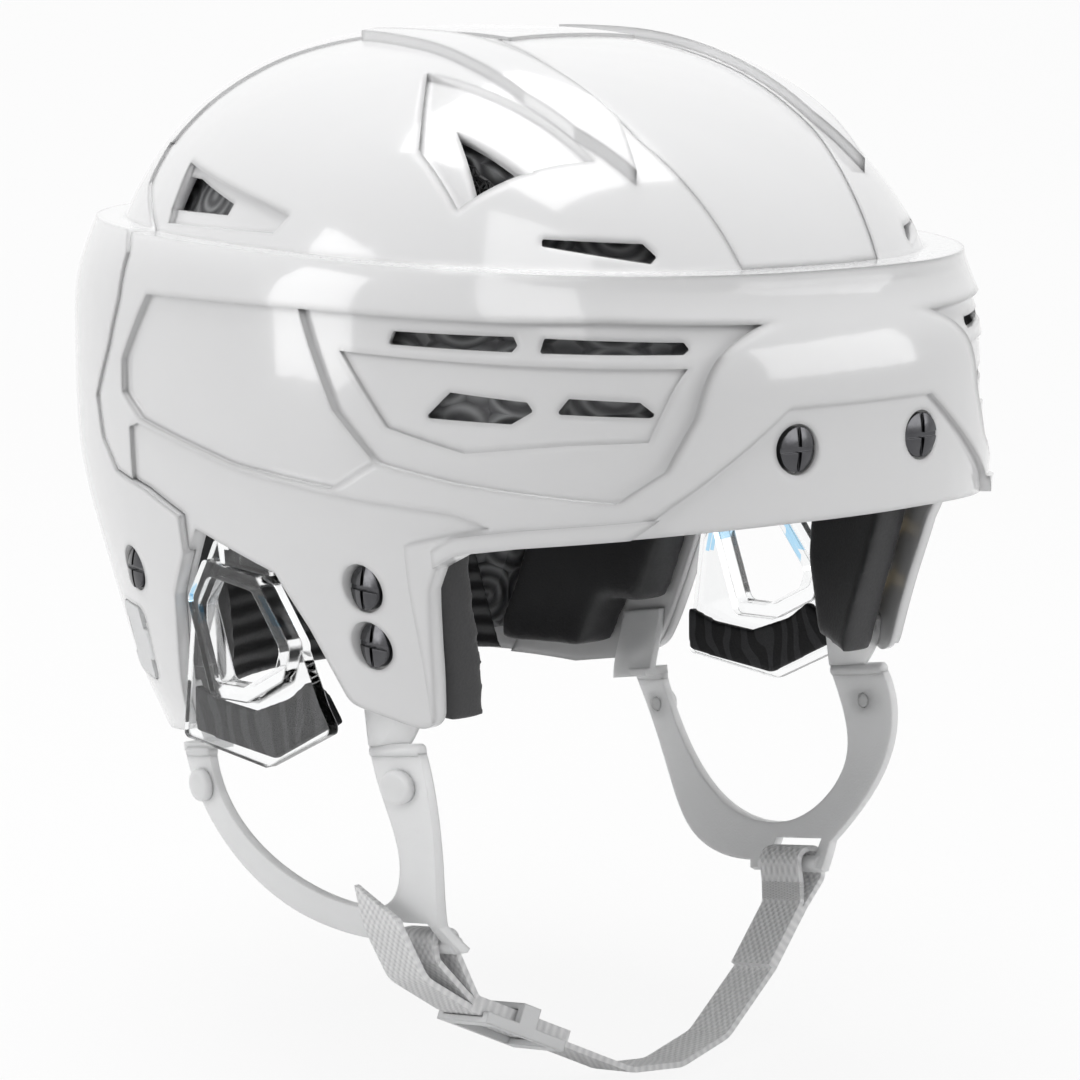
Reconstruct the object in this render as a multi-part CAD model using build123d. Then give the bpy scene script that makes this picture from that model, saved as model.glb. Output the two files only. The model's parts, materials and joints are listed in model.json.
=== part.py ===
from build123d import *
import os
from functools import lru_cache
from math import asin, cos, degrees, hypot, pi, radians, sin

# Ice hockey helmet, in millimetres. It faces -Y, +Z is up and +X is the wearer's left.
# The origin is the middle of the head opening, level with the brim.
# Outlines are rows of shares: x of half_width, y of front_reach, z of crown_height.

# Whole helmet
half_width = 104.5
front_reach = 121.0
rear_reach = 155.0
crown_height = 131.0
ledge_height = 76.0
dome_base = 20.0
skirt_depth = 70.0
section_centre = 20.0
dome_half_width = 100.5
dome_front_reach = 113.0
dome_rear_reach = 152.0
overrun = 150.0

# Shape powers of the superellipse sections
band_power = 2.45
dome_power = 2.35
dome_rise_power = 2.35
dome_width_power = 2.7
dome_front_power = 2.2
dome_rear_power = 2.9
section_points = 24
band_sections = 10
dome_level_shares = (0, 0.15, 0.3, 0.45, 0.58, 0.7, 0.8, 0.88, 0.94, 0.975, 0.992, 0.9985)

# Level of ledge_height, width of half_width, front of front_reach and rear of rear_reach
band_section_shares = (
    (-0.92, 0.823, 0.775, 0.765),
    (-0.6, 0.9, 0.835, 0.845),
    (-0.395, 0.928, 0.86, 0.89),
    (0, 0.981, 0.967, 0.968),
    (0.197, 0.995, 1.0, 0.994),
    (0.526, 1.003, 0.992, 1.0),
    (0.789, 0.998, 0.967, 0.99),
    (0.921, 0.986, 0.946, 0.974),
    (1.0, 0.957, 0.909, 0.948),
)

# Shell walls and the sliding overlap
front_wall = 3.4
flange_wall = 2.0
flange_lap = 8.0
flange_reach = 24.0
flange_bond = 0.4
rear_wall = 3.0
rear_proud = 0.6
seam_gap = 0.5
cap_level = 98.0
flange_level = 78.0
flange_rear = 94.0

# Outer relief of the front shell
recess_depth = 1.9
tier_step = 0.8
plate_depth = 1.7
lower_wall_step = 1.2
brim_lip = 1.2
brim_lip_height = 4.5
ear_rim_height = 1.1
lobe_corner = 6.0
ridge_height = 2.6
ridge_root = 0.5
vent_corner = 1.2
panel_thickness = 1.6
panel_sink = 0.2
panel_gap = 0.4

# Liner
foam_gap = 0.6
foam_thickness = 11.0
rear_foam_gap = 0.4
rear_foam_clear = 3.0
rear_foam_link = 127.0
pad_gap = 0.4
brow_pad_thickness = 7.0
crown_pad_thickness = 6.0
temple_pad_depth = 7.6
temple_pad_thickness = 11.0
side_pad_thickness = 13.5
nape_pad_thickness = 6.0
lattice_thickness = 7.0
lattice_gap = 0.5

# Screws and nuts
screw_head_radius = 5.7
screw_head_height = 2.3
screw_dome = 0.9
screw_slot_width = 1.3
screw_slot_depth = 1.2
screw_shank_radius = 2.0
screw_shank_length = 8.0
screw_pocket_gap = 0.7
screw_pocket_depth = 4.2
screw_hole_gap = 0.15
boss_radius = 8.0
boss_depth = 6.0
nut_flange_radius = 6.6
nut_flange_thickness = 1.4
nut_barrel_radius = 3.4
nut_barrel_length = 5.0
nut_seat_gap = 0.2
nut_pocket_gap = 1.0
nut_thread_gap = 0.05

# Rear adjustment
adjust_travel = 12.0
adjust_tilt = 5.0
adjust_nut_drop = 4.8
adjust_nut_radius = 5.5
adjust_nut_length = 3.4
adjust_shank_length = 12.8
adjust_seat_share = 0.8
adjust_slot_gap = 0.7
tab_width = 19.0
tab_height = 21.0
tab_thickness = 1.7
tab_corner = 4.0
tab_gap = 0.4
tab_knuckle_radius = 1.5
tab_knuckle_length = 9.0
tab_pin_radius = 0.8
tab_pin_length = 13.0
tab_pin_gap = 0.05
tab_pin_depth = 0.9
tab_grip_depth = 0.7

# Ear guards
guard_plane = 94.5
guard_thickness = 3.0
guard_frame_rise = 3.6
guard_frame_width = 4.5
guard_frame_taper = 3.0
guard_corner = 2.0
guard_window_corner = 3.0
guard_lug_inset = 0.3
ear_pad_thickness = 2.6

# Chin harness. Its own frame leans back by harness_tilt about X at the front hinge.
harness_tilt = 11.0
hinge_half_span = 83.4
hinge_y = -36.0
hinge_level = -50.6
hinge_gap = 0.4
yoke_thickness = 2.6
yoke_bulge_depth = 26.0
yoke_bulge_inset = 2.2
yoke_drop = 56.0
yoke_inset = 18.4
bar_half_span = 66.5
bar_drop = 54.0
bar_radius = 2.4
bar_slot_height = 4.4
bar_centre = 19.0
bar_slot_length = 19.0
clip_thickness = 2.4
clip_corner = 2.0
rear_clip_step = 8.0
snap_length = 13.0
snap_width = 9.0
snap_height = 2.4
rear_snap_radius = 4.6

# Chin strap
webbing_width = 16.0
webbing_thickness = 1.6
webbing_bite = 0.05
strap_layers = 3
near_loop_gap = 0.4
far_loop_gap = 1.2
slider_length = 28.0
slider_width = 21.5
slider_bar = 4.2
slider_gap = 0.35
slider_plate = 1.6
slider_side_gap = 0.5
slider_middle_bar = 6.0

# Lower edge of the shells, side view, then round the back and over the top
skirt_shares = (
    (-1.24, 1.145),
    (-1.24, 0.115),
    (-0.975, 0.111),
    (-0.843, 0.092),
    (-0.678, 0.069),
    (-0.554, 0.046),
    (-0.5, 0.015),
    (-0.475, -0.031),
    (-0.45, -0.153),
    (-0.421, -0.334),
    (-0.298, -0.313),
    (-0.207, -0.298),
    (-0.12, -0.157),
    (-0.033, -0.053),
    (0.248, 0),
    (0.36, -0.153),
    (0.38, -0.237),
    (0.405, -0.344),
    (0.426, -0.447),
    (0.496, -0.481),
    (0.628, -0.504),
    (1.074, -0.473),
    (1.446, -0.458),
    (1.446, 1.145),
)

skirt_round_rows = (9, 11, 18)

# Raised rim over the ear opening
ear_rim_shares = (
    (-0.207, -0.328),
    (-0.12, -0.16),
    (-0.033, -0.056),
    (0.248, -0.005),
    (0.314, -0.005),
    (0.314, 0.046),
    (0.24, 0.041),
    (-0.062, -0.012),
    (-0.161, -0.137),
    (-0.256, -0.282),
)

# Part of the side view that the rear shell covers, below cap_level
seam_shares = (
    (0.289, -0.649),
    (0.289, 0.023),
    (0.43, 0.06),
    (0.576, 0.08),
    (0.65, 0.143),
    (0.678, 0.229),
    (0.595, 0.344),
    (0.545, 0.443),
    (0.529, 0.542),
    (0.562, 0.58),
    (0.719, 0.664),
)
seam_corner_shares = (0.699, 0.736)

# Plan of the cap that reaches forward over the crown, one half
cap_shares = (
    (0.211, -0.028),
    (0.234, 0.139),
    (0.287, 0.331),
    (0.431, 0.537),
    (0.584, 0.669),
)

# Relief and openings of the front shell, one half each
plate_shares = (
    (0.413, 0.466),
    (0.529, 0.321),
    (0.529, 0.252),
    (0.446, 0.206),
    (0.074, 0.156),
    (-0.248, 0.145),
    (-0.362, 0.206),
    (-0.248, 0.298),
    (-0.14, 0.485),
)
recess_shares = (
    (-0.145, 0.485),
    (-0.256, 0.298),
    (-0.368, 0.206),
    (-0.545, 0.183),
    (-0.826, 0.16),
    (-0.884, 0.221),
    (-0.909, 0.321),
    (-0.926, 0.489),
    (-0.777, 0.496),
    (-0.603, 0.49),
)
lower_wall_shares = (
    (0.496, 0.183),
    (0.455, 0.196),
    (0.074, 0.146),
    (-0.289, 0.131),
    (-0.545, 0.125),
    (-0.62, 0.103),
    (-0.545, 0.084),
    (-0.43, 0.053),
    (-0.413, -0.458),
    (0.496, -0.458),
)
brow_plate_flare_share = 1.4
brow_plate_shares = ((0.526, 0.156), (0.235, 0.332))
ridge_shares = (
    (0.325, -0.512),
    (0.383, -0.628),
    (0.435, -0.479),
    (0.45, -0.331),
    (0.431, -0.124),
    (0.392, 0.124),
    (0.344, 0.364),
    (0.316, 0.347),
    (0.316, 0),
    (0.325, -0.298),
)
panel_shares = (
    (0.211, -0.86),
    (0.297, -0.545),
    (0.297, -0.306),
    (0.23, -0.012),
)
tier_shares = (
    (-0.256, 0.412),
    (-0.38, 0.275),
    (-0.554, 0.24),
    (-0.744, 0.267),
    (-0.851, 0.275),
    (-0.884, 0.412),
)
dome_vent_recess_shares = (
    (0.498, -0.05),
    (0.431, -0.545),
    (0.708, -0.388),
    (0.679, -0.223),
)
rear_vent_recess_shares = (
    (0.041, 0.647),
    (0.074, 0.61),
    (0.504, 0.599),
    (0.521, 0.721),
)
dome_vent_shares = ((0.589, -0.252), (0.555, -0.479), (0.66, -0.405))
rear_vent_shares = ((0.512, 0.691), (0.455, 0.691), (0.273, 0.653), (0.281, 0.63), (0.512, 0.624))

# Side slots: place on the surface, then corners along and up, all in shares of half_width
slot_place_shares = (
    (-0.525, 0.449),
    (-0.806, 0.449),
    (-0.587, 0.327),
    (-0.806, 0.337),
    (-0.661, 0.618),
)
slot_corner_shares = (
    ((-0.17, 0.018), (-0.158, -0.014), (0.158, -0.02), (0.17, 0), (0.158, 0.016)),
    ((-0.174, 0.016), (-0.163, -0.019), (0.163, -0.013), (0.176, 0.003), (0.163, 0.015)),
    ((-0.139, 0.033), (-0.072, -0.033), (0.124, -0.021), (0.139, 0), (0.086, 0.033)),
    ((-0.115, 0.017), (-0.086, -0.021), (0.081, -0.015), (0.119, 0.015), (0.105, 0.021)),
    ((-0.139, -0.006), (-0.139, -0.023), (0.1, -0.015), (0.134, 0.015), (0.12, 0.031)),
)

# Vents in the back: level and width of each row, and how far out they lie
rear_slot_shares = ((0.5, 0.5), (0.12, 0.4))
rear_slot_spread_share = 0.65

# Screws: places on the surface
brow_screw_shares = (0.207, 0.251)
temple_screw_shares = ((-0.297, -0.05), (-0.293, -0.167))
adjust_screw_shares = (0.55, -0.127)
tab_place_shares = (0.62, -0.298)

# Liner outlines, side view
front_foam_shares = (
    (-1.24, 1.145),
    (-1.24, 0.183),
    (-0.826, 0.168),
    (-0.579, 0.13),
    (-0.43, 0.099),
    (0.727, 0.099),
    (0.727, 0.595),
    (1.446, 0.595),
    (1.446, 1.145),
)
rear_foam_low = -57.0
temple_pad_shares = (
    (-0.446, 0.076),
    (-0.421, -0.153),
    (-0.397, -0.321),
    (-0.248, -0.305),
    (-0.149, -0.153),
    (-0.099, 0.076),
)
side_pad_shares = (
    (0.43, 0.061),
    (0.744, 0.061),
    (0.744, -0.45),
    (0.545, -0.45),
    (0.529, -0.336),
    (0.413, -0.336),
    (0.38, -0.183),
)
brow_pad_shares = (0.555, 0.206, 0.458)
nape_pad_shares = (0.498, -0.42, 0.031)
crown_pad_shares = (0.287, -0.413, -0.066)
lattice_window_share = 1.16

# Ear guard, side view
guard_shares = (
    (0.256, -0.027),
    (0.083, -0.061),
    (-0.058, -0.191),
    (-0.14, -0.313),
    (-0.182, -0.359),
    (0.058, -0.473),
    (0.38, -0.462),
    (0.343, -0.168),
)
guard_window_shares = (
    (0.24, -0.099),
    (0.074, -0.107),
    (-0.033, -0.21),
    (-0.017, -0.252),
    (0.099, -0.309),
    (0.207, -0.317),
    (0.281, -0.16),
)
guard_lug_shares = (0.017, 0.198, -0.069, 0.069)
ear_pad_shares = (
    (0.364, -0.351),
    (0.273, -0.37),
    (0.132, -0.37),
    (0, -0.321),
    (-0.066, -0.275),
    (-0.116, -0.298),
    (-0.165, -0.347),
    (0.058, -0.458),
    (0.355, -0.45),
)

# Yoke outline in the harness frame: along the hinge and down, shares of yoke_drop
yoke_outer_shares = (
    (-0.18, 0),
    (-0.22, 0.18),
    (-0.17, 0.46),
    (-0.03, 0.7),
    (0.1, 0.86),
)
yoke_rear_shares = (
    (0.64, 0.95),
    (0.86, 0.93),
    (1.25, 0.78),
    (1.53, 0.46),
    (1.74, 0),
)
yoke_inner_shares = (
    (1.53, 0),
    (1.38, 0.37),
    (1.1, 0.62),
    (0.72, 0.76),
    (0.33, 0.72),
    (0.11, 0.46),
    (0.14, 0.18),
    (0.19, 0),
)
front_clip_shares = (-0.19, 0.2, 0.28)
rear_clip_shares = (1.52, 1.75, 0.36)
front_snap_shares = (-0.02, 0.16)
rear_snap_shares = (1.6, 0.16)

# Strap centre line in the harness frame: across from the middle and up, in shares of bar_half_span
strap_main_shares = (
    (-0.45, -1.32),
    (-0.12, -1.49),
    (0.15, -1.52),
    (0.42, -1.45),
    (0.72, -1.22),
    (0.94, -0.99),
)
strap_tail_shares = (
    (-0.9, -1.09),
    (-1.12, -0.93),
    (-1.215, -0.7),
    (-1.235, -0.52),
)
strap_bend_radius = 9.0
strap_tip_shares = ((0.1, 0.86), (0.1, 0.5), (0.5, 0.5), (0.5, 0.63))


def by_half_width(rows):
    return [(across * half_width, up * half_width) for across, up in rows]


def side_points(rows):
    return [(along * front_reach, up * crown_height) for along, up in rows]


def plan_points(rows):
    return [(across * half_width, along * front_reach) for across, along in rows]


def smooth_value(rows, level, column):
    """Monotone cubic through a column of a table of shares."""
    levels = [row[0] for row in rows]
    values = [row[column] for row in rows]
    last = len(rows) - 1
    steps = [levels[k + 1] - levels[k] for k in range(last)]
    slopes = [(values[k + 1] - values[k]) / steps[k] for k in range(last)]
    tangents = [slopes[0]]
    for k in range(1, last):
        if slopes[k - 1] * slopes[k] <= 0:
            tangents.append(0)
        else:
            before = 2 * steps[k] + steps[k - 1]
            after = steps[k] + 2 * steps[k - 1]
            tangents.append((before + after) / (before / slopes[k - 1] + after / slopes[k]))
    tangents.append(slopes[-1])
    level = min(max(level, levels[0]), levels[-1])
    k = max(i for i in range(last) if levels[i] <= level)
    t = (level - levels[k]) / steps[k]
    start = (1 + 2 * t) * (1 - t) ** 2 * values[k] + t * (1 - t) ** 2 * steps[k] * tangents[k]
    end = t * t * (3 - 2 * t) * values[k + 1] - t * t * (1 - t) * steps[k] * tangents[k + 1]
    return start + end


def band_size(level, inset):
    """Half width, front and rear distances of the band's section at a level."""
    share = level / ledge_height
    width = smooth_value(band_section_shares, share, 1) * half_width - inset
    front = smooth_value(band_section_shares, share, 2) * front_reach - inset + section_centre
    rear = smooth_value(band_section_shares, share, 3) * rear_reach - inset - section_centre
    return width, front, rear


def dome_size(level, inset):
    """The same for the dome."""
    rise = max(level - dome_base, 0) / (crown_height - inset - dome_base)
    left = max(1 - rise ** dome_rise_power, 0)
    width = (dome_half_width - inset) * left ** (1 / dome_width_power)
    front = (dome_front_reach + section_centre - inset) * left ** (1 / dome_front_power)
    rear = (dome_rear_reach - section_centre - inset) * left ** (1 / dome_rear_power)
    return width, front, rear


def within(x, y, size, power):
    width, front, rear = size
    if min(width, front, rear) <= 0:
        return False
    along = y - section_centre
    reach = rear if along > 0 else front
    return abs(x / width) ** power + abs(along / reach) ** power <= 1


def is_inside(x, y, z, inset):
    if z <= ledge_height - inset and within(x, y, band_size(z, inset), band_power):
        return True
    return dome_base <= z < crown_height - inset and within(x, y, dome_size(z, inset), dome_power)


def side_x(y, z, inset):
    """Half width of the shell form at a place of the side view."""
    low = 0
    high = 2 * half_width
    while high - low > half_width / 1e5:
        middle = (low + high) / 2
        if is_inside(middle, y, z, inset):
            low = middle
        else:
            high = middle
    return low


def front_y(x, z, inset):
    low = section_centre
    high = -2 * front_reach
    while low - high > front_reach / 1e5:
        middle = (low + high) / 2
        if is_inside(x, middle, z, inset):
            low = middle
        else:
            high = middle
    return low


def section_wire(level, size, power):
    width, front, rear = size
    points = []
    for k in range(section_points):
        turn = pi / 2 + 2 * pi * k / section_points
        across = cos(turn)
        along = sin(turn)
        reach = rear if along > 0 else front
        x = width * abs(across) ** (2 / power) * (1 if across > 0 else -1)
        y = section_centre + reach * abs(along) ** (2 / power) * (1 if along > 0 else -1)
        points.append((x, y, level))
    return Wire([Edge.make_spline(points, periodic=True)])


@lru_cache(maxsize=None)
def form(inset):
    """The helmet's outer form drawn in by a depth: dome and band in one solid."""
    rise = ledge_height - inset + skirt_depth
    levels = [rise * k / (band_sections - 1) - skirt_depth for k in range(band_sections)]
    band = Solid.make_loft([section_wire(z, band_size(z, inset), band_power) for z in levels])
    top = crown_height - inset - dome_base
    levels = [dome_base + top * share for share in dome_level_shares]
    dome = Solid.make_loft([section_wire(z, dome_size(z, inset), dome_power) for z in levels])
    return Part() + band + dome


@lru_cache(maxsize=None)
def layer(outer, inner):
    return form(outer) - form(inner)


def outline(points, corner=0):
    face = make_face(Polyline(*points, close=True))
    if corner:
        face = fillet(face.vertices(), corner)
    return face


def side_prism(points, grow=0):
    """Prism across the helmet over an outline of the side view."""
    face = outline(points)
    if grow:
        face = offset(face, grow, kind=Kind.INTERSECTION)
    return extrude(Plane.YZ * face, overrun, both=True)


def half_prism(points, near, far, corner=0):
    """Prism on the left side only, from near to far."""
    face = outline(points, corner)
    return extrude(Plane.YZ.offset(near) * face, far - near)


def front_prism(points):
    return extrude(Plane.XZ * outline(points), overrun)


def plan_prism(points, low, grow=0):
    face = outline(points)
    if grow:
        face = offset(face, grow, kind=Kind.INTERSECTION)
    return extrude(Plane.XY.offset(low) * face, overrun)


def mirrored(part):
    return part.mirror(Plane.YZ)


def both_sides(part):
    return part + mirrored(part)


def doubled(points):
    """Close a half outline with its mirror image across the middle line."""
    return points + [(-x, y) for x, y in reversed(points)]


def block(low, high):
    size = [b - a for a, b in zip(low, high)]
    centre = [(a + b) / 2 for a, b in zip(low, high)]
    return Pos(*centre) * Box(*size)


def cap_outline(back=0):
    """Plan of the rear shell's cap, moved back by a distance."""
    corner = plan_points([seam_corner_shares])[0]
    half = plan_points(cap_shares) + [corner, (overrun, corner[1]), (overrun, overrun + rear_reach)]
    return [(x, y + back) for x, y in doubled(half)]


def seam_outline():
    corner = plan_points([seam_corner_shares])[0]
    far = overrun + rear_reach
    points = side_points(seam_shares) + [(corner[1], cap_level), (far, cap_level)]
    return points + [(far, points[0][1])]


def rear_region(grow):
    """Space that belongs to the rear shell, grown by a gap."""
    return side_prism(seam_outline(), grow) + plan_prism(cap_outline(), cap_level - grow, grow)


def lap_region():
    """The same space begun flange_lap further forward, where the hidden flange starts."""
    return Pos(Y=-flange_lap) * rear_region(0)


def behind_flange():
    far = overrun + rear_reach
    low = block((-overrun, flange_rear, -overrun), (overrun, far, flange_level))
    return low + plan_prism(cap_outline(flange_reach), flange_level)


def skirt_prism():
    """Space over the lower edge of the shells, with the lobes' corners rounded."""
    points = side_points(skirt_shares)
    face = outline(points)
    rounded = [points[row] for row in skirt_round_rows]
    corners = []
    for vertex in face.vertices():
        if any(hypot(vertex.X - y, vertex.Y - z) < vent_corner for y, z in rounded):
            corners.append(vertex)
    return extrude(Plane.YZ * fillet(corners, lobe_corner), overrun, both=True)


def surface_frame(y, z, inset):
    """Frame on the left side: Z out of the surface, X along it towards the front."""
    x = side_x(y, z, inset)
    step = half_width / 1e3
    slope = (side_x(y - step, z, inset) - side_x(y + step, z, inset)) / (2 * step)
    normal = Vector(1, slope, 0).normalized()
    along = Vector(slope, -1, 0).normalized()
    return Plane(origin=(x, y, z), x_dir=along, z_dir=normal)


def brow_screw_frame():
    x = brow_screw_shares[0] * half_width
    z = brow_screw_shares[1] * crown_height
    return Plane(origin=(x, front_y(x, z, 0), z), x_dir=(1, 0, 0), z_dir=(0, -1, 0))


def temple_screw_frames():
    frames = []
    for y, z in side_points(temple_screw_shares):
        frames.append(Plane(origin=(side_x(y, z, 0), y, z), x_dir=(0, -1, 0), z_dir=(1, 0, 0)))
    return frames


def adjust_screw_frame():
    y, z = side_points([adjust_screw_shares])[0]
    return surface_frame(y, z, 0)


def cylinder_on(frame, radius, low, high):
    """Cylinder along a frame's Z between two heights over its origin."""
    return frame * (Pos(Z=(low + high) / 2) * Cylinder(radius, high - low))


def screw_pocket(frame):
    pocket = cylinder_on(frame, screw_head_radius + screw_pocket_gap, -screw_pocket_depth, overrun / 4)
    hole = cylinder_on(frame, screw_shank_radius + screw_hole_gap, -overrun / 4, overrun / 4)
    return pocket + hole


def screw_boss(frame):
    """Wall thickened inwards round a screw, with a flat end for the nut."""
    return cylinder_on(frame, boss_radius, -boss_depth, 0) & form(front_wall - flange_bond)


def screw(frame, shank=screw_shank_length):
    """Cross slotted domed screw seated on the floor of its pocket."""
    seat = -screw_pocket_depth
    top = seat + screw_head_height
    head = cylinder_on(frame, screw_head_radius, seat, top)
    sphere = (screw_head_radius ** 2 + screw_dome ** 2) / (2 * screw_dome)
    cap = frame * (Pos(Z=top + screw_dome - sphere) * Sphere(sphere))
    head += cap & cylinder_on(frame, screw_head_radius, seat, top + screw_dome)
    width = 2 * screw_head_radius
    for turn in (0, 90):
        cutter = Box(width, screw_slot_width, 2 * screw_slot_depth)
        head -= frame * (Pos(Z=top + screw_dome) * Rot(Z=turn) * cutter)
    return head + cylinder_on(frame, screw_shank_radius, seat - shank, seat)


def nut(frame, seat, radius=nut_flange_radius, length=nut_barrel_length):
    """Flanged barrel nut threaded on a screw, its flange at a depth under the surface."""
    low = seat - nut_flange_thickness
    body = cylinder_on(frame, radius, low, seat)
    body += cylinder_on(frame, nut_barrel_radius, low - length, low)
    return body - cylinder_on(frame, screw_shank_radius + nut_thread_gap, -overrun / 4, overrun / 4)


def nut_room(frame):
    deep = boss_depth + nut_seat_gap + nut_flange_thickness + nut_barrel_length + nut_pocket_gap
    return cylinder_on(frame, boss_radius + pad_gap, -deep, 0)


def nut_pocket(frame):
    return cylinder_on(frame, boss_radius + pad_gap, -overrun / 8, 0)


def slot_prism(place, corners):
    """Opening square to the surface at a place of the left side."""
    y, z = place
    x = side_x(y, z, 0)
    step = half_width / 1e3
    slope = (side_x(y - step, z, 0) - side_x(y + step, z, 0)) / (2 * step)
    frame = Plane(origin=(x, y, z), x_dir=Vector(slope, -1, 0), z_dir=Vector(1, slope, 0))
    face = outline(corners, vent_corner / 2)
    return extrude(frame * face, front_wall + screw_head_radius + screw_head_radius, both=True)


def side_slots():
    prisms = Part()
    for place, corners in zip(side_points(slot_place_shares), slot_corner_shares):
        prisms += slot_prism(place, by_half_width(corners))
    return prisms


def vents():
    """All openings of one side."""
    dome_vent = plan_prism(plan_points(dome_vent_shares), ledge_height + front_wall)
    rear_vent = half_prism(side_points(rear_vent_shares), half_width / 2, overrun)
    return side_slots() + dome_vent + rear_vent


def brow_outline():
    (low_x, low_z), (high_x, high_z) = brow_plate_shares
    half = [
        (low_x * half_width * brow_plate_flare_share, 0),
        (low_x * half_width, low_z * crown_height),
        (high_x * half_width, high_z * crown_height),
    ]
    return doubled(half)


def brim_strip():
    """Lip along the brim, from temple to temple."""
    points = side_points(skirt_shares)[1:7]
    upper = [(y, z + brim_lip_height) for y, z in reversed(points)]
    return side_prism(points + upper)


def raised(prism, height):
    """Relief standing on the wall inside a prism."""
    return (prism & form(-height)) - form(ridge_root)


def front_shell():
    shell = layer(0, front_wall)
    flange = layer(front_wall - flange_bond, front_wall + flange_wall) & lap_region()
    shell = shell + flange
    shell = shell - (rear_region(seam_gap) - form(front_wall)) - behind_flange()
    ridge = raised(plan_prism(plan_points(ridge_shares), ledge_height), ridge_height)
    shell = shell + both_sides(ridge - rear_region(seam_gap))
    shell = shell & skirt_prism()
    shell = shell + (raised(brim_strip(), brim_lip) & skirt_prism())
    rim = raised(half_prism(side_points(ear_rim_shares), half_width / 2, overrun), ear_rim_height)
    shell = shell + both_sides((rim & skirt_prism()) - rear_region(seam_gap))
    relief = half_prism(side_points(plate_shares), half_width / 2, overrun) - form(plate_depth)
    relief += half_prism(side_points(recess_shares), 0, overrun) - form(recess_depth)
    relief += half_prism(side_points(lower_wall_shares), half_width / 2, overrun) - form(lower_wall_step)
    relief += half_prism(side_points(tier_shares), half_width / 4, overrun) - form(recess_depth + tier_step)
    relief += half_prism(side_points(rear_vent_recess_shares), half_width / 2, overrun) - form(plate_depth)
    relief += plan_prism(plan_points(dome_vent_recess_shares), ledge_height + front_wall) - form(plate_depth)
    shell = shell - both_sides(relief)
    shell = shell - (front_prism(brow_outline()) - form(plate_depth))
    crown = plan_prism(doubled(plan_points(panel_shares)), ledge_height, panel_gap)
    shell = shell - (crown - form(panel_sink + panel_thickness + panel_gap))
    screws = [brow_screw_frame()] + temple_screw_frames()
    for frame in screws:
        shell = shell + both_sides(screw_boss(frame))
    for frame in screws:
        shell = shell - both_sides(screw_pocket(frame))
    return shell - both_sides(vents() + adjust_slot())


def adjust_slot():
    """Slot of the flange that the adjustment screw slides in."""
    frame = adjust_screw_frame()
    radius = screw_shank_radius + adjust_slot_gap
    start = frame.origin
    travel = Vector(0, adjust_travel * cos(radians(adjust_tilt)), adjust_travel * sin(radians(adjust_tilt)))
    reach = front_wall + flange_wall + boss_depth
    cut = Part()
    for share in (0, 0.5, 1):
        at = Plane(origin=start + travel * share, x_dir=frame.x_dir, z_dir=frame.z_dir)
        cut += cylinder_on(at, radius, -2 * reach, reach)
    middle = start + travel * 0.5
    run = Plane(origin=middle, x_dir=travel, z_dir=(1, 0, 0))
    cut += run * Box(adjust_travel, 2 * radius, 4 * reach)
    return cut


def crown_panel():
    """Separate insert between the two crown ridges."""
    prism = plan_prism(doubled(plan_points(panel_shares)), ledge_height)
    panel = (prism & form(panel_sink)) - form(panel_sink + panel_thickness)
    return panel - rear_region(seam_gap)


def rear_shell():
    shell = layer(-rear_proud, rear_wall) & rear_region(0)
    shell = shell & skirt_prism()
    frame = adjust_screw_frame()
    shell = shell - both_sides(adjust_pocket(frame))
    shell = shell - both_sides(tab_recess())
    return shell - rear_slots()


def adjust_pocket(frame):
    pocket = cylinder_on(frame, screw_head_radius + screw_pocket_gap, adjust_seat(), overrun / 4)
    return pocket + cylinder_on(frame, screw_shank_radius + screw_hole_gap, -overrun / 4, overrun / 4)


def adjust_seat():
    """Depth of the pocket floor of the adjustment screw."""
    return rear_proud - rear_wall * adjust_seat_share


def rear_slots():
    """Two rows of vents in the back of the rear shell."""
    cut = Part()
    for level_share, width_share in rear_slot_shares:
        slot = Box(width_share * half_width, overrun, 2 * rear_wall)
        z = level_share * crown_height
        out = width_share * half_width * rear_slot_spread_share
        cut += Pos(out, rear_reach, z) * slot
        cut += Pos(-out, rear_reach, z) * slot
    return cut


def adjust_screw():
    frame = adjust_screw_frame()
    lift = adjust_seat() + screw_pocket_depth
    raised = Plane(origin=frame.origin + frame.z_dir * lift, x_dir=frame.x_dir, z_dir=frame.z_dir)
    return screw(raised, adjust_shank_length)


def adjust_nut():
    frame = adjust_screw_frame()
    seat = -front_wall - flange_wall - adjust_nut_drop
    return nut(frame, seat, adjust_nut_radius, adjust_nut_length)


def tab_frame():
    y, z = side_points([tab_place_shares])[0]
    low = Vector(side_x(y, z - tab_height / 2, 0), y, z - tab_height / 2)
    high = Vector(side_x(y, z + tab_height / 2, 0), y, z + tab_height / 2)
    front = Vector(side_x(y - tab_width / 2, z, 0), y - tab_width / 2, z)
    back = Vector(side_x(y + tab_width / 2, z, 0), y + tab_width / 2, z)
    along = (front - back).normalized()
    up = (high - low).normalized()
    return Plane(origin=(side_x(y, z, 0), y, z), x_dir=along, z_dir=up.cross(along))


def tab_outline(grow):
    return RectangleRounded(tab_width + 2 * grow, tab_height + 2 * grow, tab_corner + grow)


def tab_pin_place():
    """Pin centre in the tab's frame: along to the front edge and out of the surface."""
    return tab_width / 2 - tab_knuckle_radius, -tab_pin_depth


def tab_knuckle(radius, length):
    along, out = tab_pin_place()
    return Pos(along, 0, out) * Rot(X=90) * Cylinder(radius, length)


def tab_recess():
    frame = tab_frame()
    depth = tab_thickness + tab_gap - rear_proud
    cut = extrude(frame.offset(-depth) * tab_outline(tab_gap), overrun / 4)
    cut += frame * tab_knuckle(tab_knuckle_radius + tab_gap, tab_knuckle_length + 2 * tab_gap)
    return cut + frame * tab_knuckle(tab_pin_radius + tab_pin_gap, tab_pin_length)


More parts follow.
